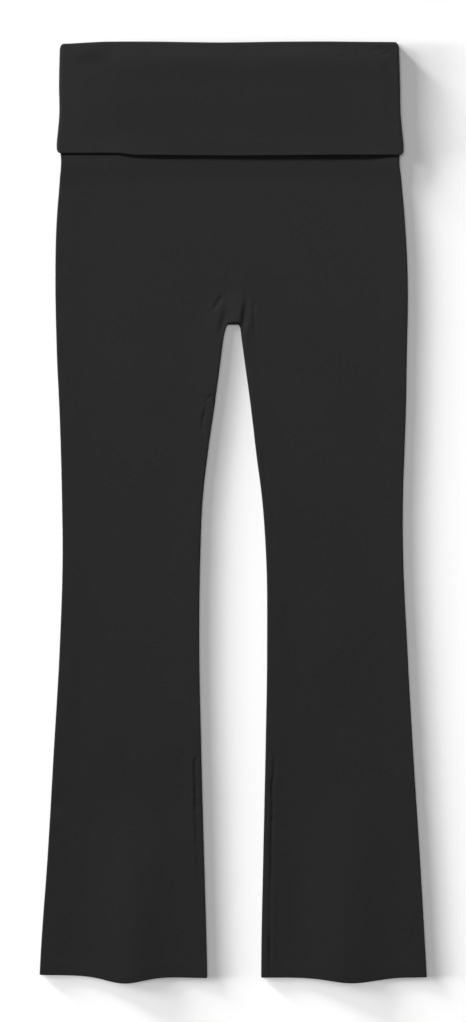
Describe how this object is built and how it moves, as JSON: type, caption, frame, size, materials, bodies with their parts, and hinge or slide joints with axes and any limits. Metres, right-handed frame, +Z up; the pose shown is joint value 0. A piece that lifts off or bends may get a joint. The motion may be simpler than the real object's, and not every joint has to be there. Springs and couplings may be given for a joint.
{
  "type": "foldover flared leggings",
  "caption": "Foldover-waist flared leggings in plain jersey, laid flat with the front up and the waistband turned down over the hips.",
  "frame": {"origin": "middle of the garment's outline, on the surface that it lies on", "axes": "+Z up off the surface with the front of the garment up, +Y towards the waist, +X towards the wearer's left side"},
  "size_m": [0.445, 1.0818, 0.0163],
  "materials": {
    "leg_jersey": "matte single knit jersey, black",
    "band_jersey": "matte doubled knit jersey, black"
  },
  "bodies": {
    "root": {"front_leg_left": "leg_jersey", "front_leg_right": "leg_jersey", "back_leg_left": "leg_jersey", "back_leg_right": "leg_jersey", "gusset": "leg_jersey", "waistband_front": "band_jersey", "waistband_back": "band_jersey"}
  },
  "joints": []
}
